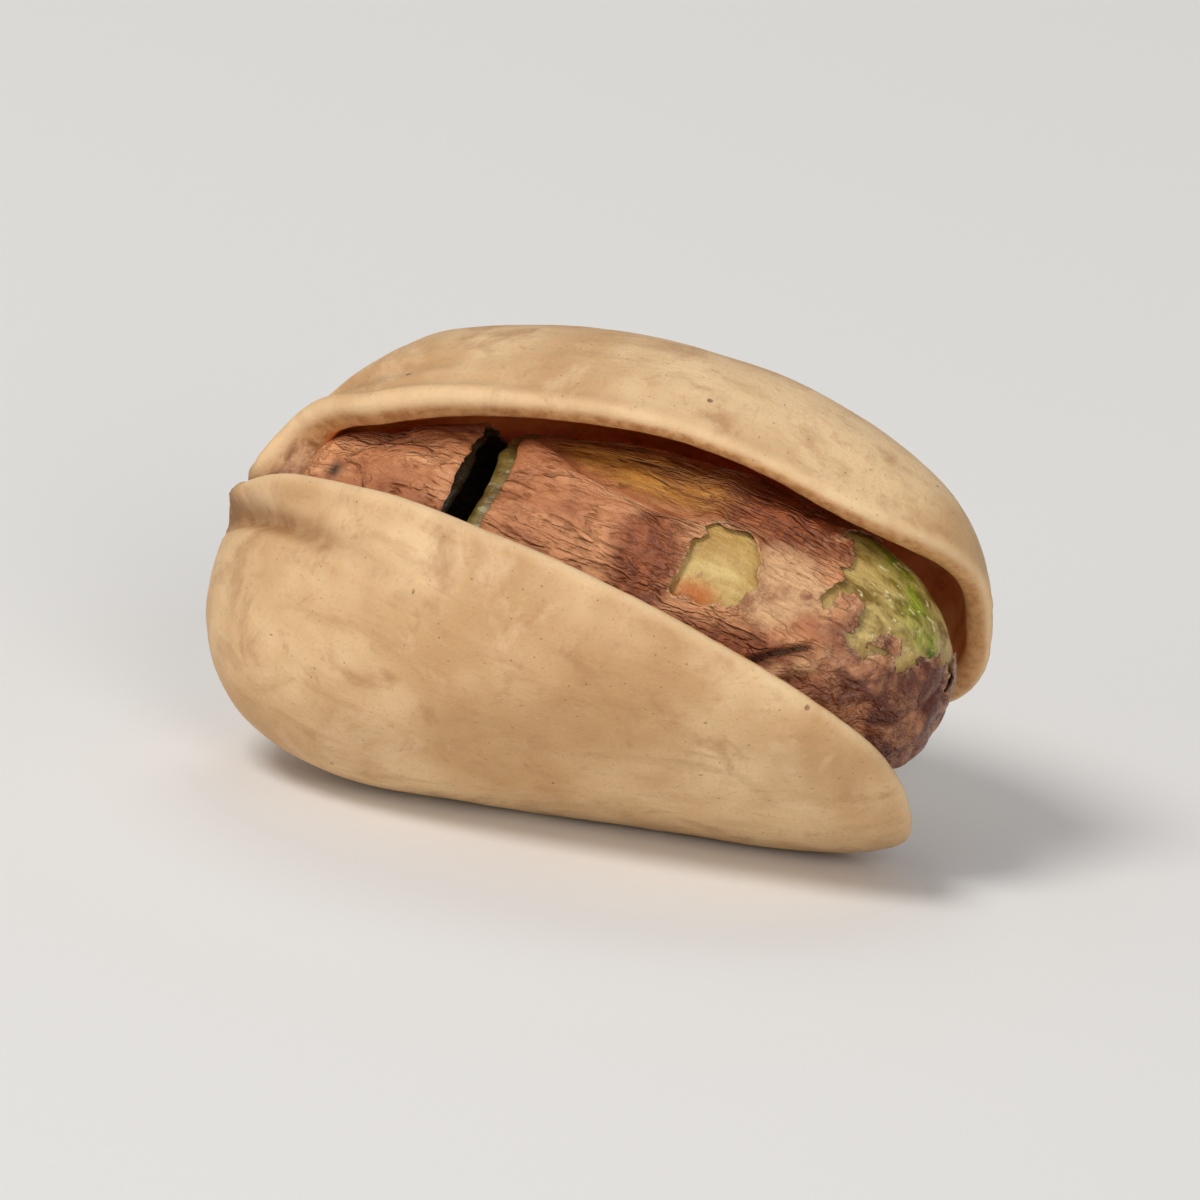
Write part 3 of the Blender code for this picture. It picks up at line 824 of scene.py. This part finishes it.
def flesh_height(v, psi):
    """Height of the bare flesh over the CAD kernel, in mm."""
    ball, place = ball_of(v, psi)
    height = stem_point(place) + 0.10 + 0.08 * noise(ball, 2.8, 65) + 0.25 * fold_step(place, psi)
    windows = np.minimum(oval(place, psi, *FRONT_WINDOW), oval(place, psi, *TIP_WINDOW))
    bare = 1 - smooth(0.8, 1.7, windows)
    height = height + 0.16 * bare
    height = height + 0.07 * noise(ball * np.array([0.25, 1, 1]), 1.2, 61)
    height = height + 0.035 * noise(ball * np.array([0.4, 1, 1]), 0.6, 63)
    height = height + 0.012 * noise(ball, 0.3, 67)
    fissure, share, _ = path_distance(place, psi, FISSURE)
    return height - 0.35 * hump(fissure, 0.0, 0.14) * ends_of(share)


def skin_left(v, psi):
    """Over 0 where the skin is left, under 0 where it is torn away; about mm from the edge."""
    ball, place = ball_of(v, psi)
    ragged = 0.40 * layered(ball, 0.9, 71, 4, 0.6)
    front = (oval(place, psi, *FRONT_WINDOW) - 1) * 1.05
    tip = (oval(place, psi, *TIP_WINDOW) - 1) * 1.5
    in_membrane = oval(place, psi, *MEMBRANE)
    holes = 0.62 + 0.9 * noise(ball, 0.62, 73) + 1.2 * smooth(0.7, 1.2, in_membrane)
    return np.minimum(np.minimum(front, tip) + ragged, holes)


def skin_height(v, psi):
    """Height of the skin's outer face over the CAD kernel, in mm."""
    ball, place = ball_of(v, psi)
    drift = np.stack([0 * place, noise(ball, 1.3, 82), noise(ball, 1.3, 84)], -1)
    long_folds = creases(ball * np.array([0.20, 1, 1]) + 0.5 * drift, 1.25, 81)
    small_folds = creases(ball * np.array([0.34, 1, 1]) + 0.4 * drift, 0.52, 85)
    valleys = hump(creases(ball * np.array([0.30, 1, 1]) + 0.4 * drift, 0.75, 88), 0.0, 0.10)
    tipward = smooth(5.6, 7.2, place)
    crumple = creases(ball + 0.4 * drift, 1.05, 89)
    height = 0.26 + 0.17 * long_folds + 0.09 * small_folds - 0.06 * valleys
    height = height + 0.26 * tipward * crumple
    fissure, share, side = path_distance(place, psi, FISSURE)
    under = hump(fissure * side, -0.42, 0.24)
    height = height + (0.18 * under - 0.34 * hump(fissure, 0.0, 0.13)) * ends_of(share)
    return height + fold_step(place, psi) + stem_point(place)


def build_flesh(piece, name, material):
    v, psi = kernel_coordinates(piece, 0.0)
    rounded = smooth(0.40, 0.0, np.abs(v - v[-1:]) * KERNEL_HALF_LENGTH)
    points = kernel_surface(v, psi, flesh_height(v, psi) - 0.16 * rounded**2)
    edge, centre = points[-1], points[-1].mean(axis=0)
    inward = 1 if piece == MAIN else -1
    rings = []
    for k in range(1, CAP_RINGS + 1):
        share = 1 - k / CAP_RINGS
        ring = centre + (edge - centre) * share
        hollow = BREAK_DEPTH[piece] * (1 - share**6)
        hollow = hollow + 0.12 * layered(ring, 1.1, 91, 3) * (1 - share)
        rings.append(ring + inward * hollow[:, None] * np.array([1.0, 0, 0]))
    body = points[..., 0].size
    all_points = np.concatenate([points.reshape(-1, 3), *rings])
    rows = len(points) + len(rings)
    ids = np.arange(rows * KERNEL_SPOKES).reshape(rows, KERNEL_SPOKES)
    ids[0], ids[-1] = ids[0, 0], ids[-1, 0]
    faces = face_out(all_points, grid_faces(np.column_stack([ids, ids[:, 0]])))

    cap = (np.arange(len(all_points)) >= body).astype(float)
    place_all, psi_all = np.full(len(all_points), BREAK_X), np.zeros(len(all_points))
    place_all[:body], psi_all[:body] = (-KERNEL_HALF_LENGTH * np.cos(v)).ravel(), psi.ravel()
    band = smooth(1.0, 0.6, np.abs(v - v[-1:]) * KERNEL_HALF_LENGTH)
    near_break = np.append(band.ravel(), cap[body:])
    edge_green = near_break if piece == MAIN else 0 * cap
    green_far, _, _ = path_distance(place_all, psi_all, GREEN_EDGE)
    in_tip = 1 - smooth(0.7, 1.25, oval(place_all, psi_all, *TIP_WINDOW))
    in_spot = 1 - smooth(0.3, 1.3, oval(place_all, psi_all, *ORANGE_SPOT))
    layers = {
        "nut": all_points,
        "green": np.clip(np.maximum(in_tip, 0.8 * edge_green), 0, 1),
        "vivid": np.clip(np.maximum(hump(green_far, 0.0, 0.62), 0.45 * edge_green), 0, 1),
        "orange": np.maximum(in_spot * (1 - cap), 0.20 * edge_green),
        # painted shade on the broken faces and along the break
        "crack_shade": 0.95 * near_break if piece == STEM else 0.80 * cap + 0.55 * (near_break - cap),
    }
    return new_piece(name, laid(all_points), faces, material, layers)


def face_out(points, faces):
    """The faces, all turned if together they face inwards."""
    p = points[faces] - points.mean(axis=0)
    if np.einsum("ij,ij->i", p[:, 0], np.cross(p[:, 1], p[:, 2])).sum() < 0:
        return flipped(faces)
    return faces


def flipped(faces):
    """The faces turned over; a triangle keeps its repeated number last."""
    faces = faces[:, ::-1].copy()
    turned = faces[:, 0] == faces[:, 1]
    faces[turned] = faces[turned][:, [1, 2, 3, 3]]
    return faces


def largest_part(faces):
    """The faces of the largest connected part; loose islands of skin are left out."""
    label = np.arange(faces.max() + 1)
    while True:
        wider = label.copy()
        np.minimum.at(wider, faces, label[faces].min(axis=1)[:, None])
        wider = wider[wider]
        if np.array_equal(wider, label):
            break
        label = wider
    part = label[faces[:, 0]]
    return faces[part == np.bincount(part).argmax()]


def snapped(field, coordinates):
    """Moves vertices next to the tear onto its edge, so that it runs smoothly across the grid."""
    best = np.full(field.shape, 0.5)
    shift = np.zeros_like(coordinates)
    for axis, step in ((0, 1), (0, -1), (1, 1), (1, -1)):
        other = np.roll(field, -step, axis=axis)
        where = np.roll(coordinates, -step, axis=axis)
        delta = where - coordinates
        if axis == 0:
            edge = -1 if step == 1 else 0
            other[edge] = field[edge]
            delta[edge] = 0
        else:
            delta[..., 1] = (delta[..., 1] + math.pi) % (2 * math.pi) - math.pi
        crosses = field * other < 0
        t = np.where(crosses, field / np.where(crosses, field - other, 1.0), 1.0)
        better = crosses & (t < best)
        best = np.where(better, t, best)
        shift = np.where(better[..., None], t[..., None] * delta, shift)
    moved = best < 0.5
    return coordinates + shift, np.where(moved, 0.0, field)


def build_skin(piece, name, material):
    v, psi = kernel_coordinates(piece, SKIN_HELD_BACK[piece])
    field = np.ones_like(v)
    if piece == MAIN:
        coordinates, field = snapped(skin_left(v, psi), np.stack([v, psi], -1))
        v, psi = coordinates[..., 0], coordinates[..., 1]
    ball, place = ball_of(v, psi)
    flesh, height = flesh_height(v, psi), skin_height(v, psi)
    inside_tear = np.maximum(field, 0)
    near_tear = np.exp(-inside_tear / 0.55) * (piece == MAIN)
    at_tear = np.exp(-inside_tear / 0.14) * (piece == MAIN)
    at_break = smooth(0.25, 0.0, np.abs(v - v[-1:]) * KERNEL_HALF_LENGTH)
    in_membrane = 1 - smooth(0.75, 1.2, oval(place, psi, *MEMBRANE))
    settled = np.clip(0.85 * near_tear + 0.6 * in_membrane, 0, 0.9)
    height = height * (1 - settled) + (flesh + 0.10 + 0.05 * creases(ball, 0.4, 94)) * settled
    thin = 0.09 - 0.06 * np.clip(at_tear + at_break, 0, 1)
    curl = at_tear * (0.02 + 0.10 * noise(ball, 0.7, 93)) - 0.05 * at_break
    outer_height = np.maximum(height + curl, flesh + 0.02 + thin)
    outer, inner = kernel_surface(v, psi, outer_height), kernel_surface(v, psi, outer_height - thin)

    ids = np.arange(v.size).reshape(v.shape)
    ids[0] = ids[0, 0]
    faces = grid_faces(np.column_stack([ids, ids[:, 0]]))
    here = (field.ravel() >= 0)[faces]
    quads = (here.sum(axis=1) == 3) & (faces[:, 2] != faces[:, 3])
    clipped = [[*quad[kept], quad[kept][-1]] for quad, kept in zip(faces[quads], here[quads])]
    clipped = np.array(clipped, int).reshape(-1, 4)
    faces = largest_part(np.concatenate([faces[here.all(axis=1)], clipped]))
    all_points = np.concatenate([outer.reshape(-1, 3), inner.reshape(-1, 3)])
    faces = face_out(all_points[: v.size], faces)
    faces = np.concatenate([faces, flipped(faces) + v.size, rim_faces(faces, v.size)])

    wander = noise(ball, 0.8, 97)
    behind, _, fold_side = path_distance(place, psi, FOLD)
    # behind the fold: olive-gold skin, partly its own colour and partly painted shade under the hood
    golden_and_shade = smooth(0.25, 0.75, behind * fold_side) * (1 - smooth(2.2, 3.4, behind))
    golden_and_shade = golden_and_shade * smooth(-3.4, -2.0, place) * (1 - smooth(1.2, 2.8, place + 0.4 * wander))
    red = 0 * place
    for *patch, end in RED_PATCHES:
        red = np.maximum(red, 1 - smooth(0.6, end, oval(place, psi, *patch) + 0.3 * wander))
    fissure, share, side = path_distance(place, psi, FISSURE)
    # painted highlight on the raised lip under the fissure
    painted_fold_highlight = hump(fissure * side, -0.45, 0.24) * ends_of(share)
    spot_v = math.acos(-STEM_SPOT[0] / KERNEL_HALF_LENGTH)
    spot = kernel_surface(spot_v, math.radians(STEM_SPOT[1]), 0.0)
    spot_far = np.linalg.norm((ball + KERNEL_PLACE - spot) / np.array([0.13, 0.13, 0.26]), axis=-1)
    papery = 1 - smooth(0.6, 1.15, oval(place, psi, *MEMBRANE) + 0.25 * wander)
    # a brown-black spot near the stem, the kernel's own mark, and painted shade in the fissure
    spot_and_fissure_shade = hump(spot_far, 0.0, 1.0) + 0.85 * hump(fissure, 0.0, 0.10) * ends_of(share)
    layers = {
        "tip": smooth(5.7, 7.0, place - 0.5 * noise(ball, 1.2, 95)),
        "pale": np.clip(papery + 0.8 * painted_fold_highlight, 0, 1),
        "torn": at_tear,
        "golden_and_shade": 0.9 * golden_and_shade,
        "red": 0.90 * red,
        "spot_and_fissure_shade": np.clip(spot_and_fissure_shade, 0, 1),
    }
    layers = {key: np.tile(np.asarray(value).ravel(), 2) for key, value in layers.items()}
    return new_piece(name, laid(all_points), faces, material, {"nut": all_points, **layers})


def rim_faces(faces, count):
    """Quads that join the two faces of a sheet round its open edges."""
    pairs = []
    for a, b in ((0, 1), (1, 2), (2, 3), (3, 0)):
        pairs.append(faces[:, [a, b]])
    pairs = np.concatenate(pairs)
    pairs = pairs[pairs[:, 0] != pairs[:, 1]]
    key = pairs[:, 0] * (count + 1) + pairs[:, 1]
    back = pairs[:, 1] * (count + 1) + pairs[:, 0]
    open_pairs = pairs[~np.isin(key, back)]
    a, b = open_pairs[:, 0], open_pairs[:, 1]
    return np.stack([b, a, a + count, b + count], -1)


# ---------------------------------------------------------------- the scene

shell = build_shell(shell_material())
flesh_look, skin_look = kernel_material(), skin_material()
kernel = build_flesh(MAIN, "nut_kernel", flesh_look)
kernel_stem = build_flesh(STEM, "nut_kernel_stem", flesh_look)
skin = build_skin(MAIN, "seed_skin", skin_look)
skin_stem = build_skin(STEM, "seed_skin_stem", skin_look)
for piece, node, slot in (
    (shell, "shell", "shell_tan"),
    (kernel, "kernel", "kernel_green"),
    (kernel_stem, "kernel_stem_piece", "kernel_green"),
    (skin, "skin", "skin_brown"),
    (skin_stem, "skin_stem_piece", "skin_brown"),
):
    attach(piece, "root")
    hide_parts(node)

# Floor, lights and camera, in metres.
FLOOR_SIZE = 6.0
floor_mesh = bpy.data.meshes.new("floor")
half = FLOOR_SIZE / 2
floor_corners = [(-half, -half, 0), (half, -half, 0), (half, half, 0), (-half, half, 0)]
floor_mesh.from_pydata(floor_corners, [], [(0, 1, 2, 3)])
floor_mesh.materials.append(floor_material())
floor = bpy.data.objects.new("floor", floor_mesh)
bpy.context.scene.collection.objects.link(floor)

CAMERA_AZIMUTH, CAMERA_ELEVATION = math.radians(24.5), math.radians(17.0)
CAMERA_ROLL = math.radians(6.5)
CAMERA_DISTANCE, FRAME_WIDTH, SENSOR = 0.6, 0.0318, 36.0
AIM = Vector((0.0, 0.0, 0.0056))


def direction(azimuth, elevation):
    """Unit vector towards a place round the nut; azimuth 0 is -Y and 90 is +X."""
    return Vector(
        (
            math.sin(azimuth) * math.cos(elevation),
            -math.cos(azimuth) * math.cos(elevation),
            math.sin(elevation),
        )
    )


back = direction(CAMERA_AZIMUTH, CAMERA_ELEVATION)
level = Vector((math.cos(CAMERA_AZIMUTH), math.sin(CAMERA_AZIMUTH), 0))
upright = back.cross(level)
right = level * math.cos(CAMERA_ROLL) + upright * math.sin(CAMERA_ROLL)
up = back.cross(right)
camera_data = bpy.data.cameras.new("camera")
camera_data.sensor_width = SENSOR
camera_data.lens = SENSOR * CAMERA_DISTANCE / FRAME_WIDTH
camera_data.clip_start, camera_data.clip_end = 0.01, 20.0
camera = bpy.data.objects.new("camera", camera_data)
place = Matrix((right, up, back)).transposed().to_4x4()
place.translation = AIM + back * CAMERA_DISTANCE
camera.matrix_world = place
bpy.context.scene.collection.objects.link(camera)
bpy.context.scene.camera = camera

LIGHTS = {  # azimuth, elevation in degrees, distance, size in metres, watts
    "key": (-30.0, 54.0, 0.7, 0.26, 2.6),
    "fill": (44.0, 26.0, 0.9, 0.50, 2.2),
    "low": (-26.0, 9.0, 0.9, 0.45, 1.1),
    "rim": (200.0, 50.0, 0.8, 0.40, 0.9),
}
for name, (azimuth, elevation, distance, size, watts) in LIGHTS.items():
    data = bpy.data.lights.new(name, "AREA")
    data.shape, data.size, data.energy = "DISK", size, watts
    data.color = (1.0, 0.975, 0.94)
    lamp = bpy.data.objects.new(name, data)
    towards = direction(math.radians(azimuth), math.radians(elevation))
    lamp.location = AIM + towards * distance
    lamp.rotation_mode = "QUATERNION"
    lamp.rotation_quaternion = towards.to_track_quat("Z", "Y")
    bpy.context.scene.collection.objects.link(lamp)

world = bpy.data.worlds.new("studio")
world.use_nodes = True
world.node_tree.nodes["Background"].inputs["Color"].default_value = (0.95, 0.97, 1.0, 1.0)
world.node_tree.nodes["Background"].inputs["Strength"].default_value = 0.27
bpy.context.scene.world = world
bpy.context.scene.view_settings.view_transform = "Standard"
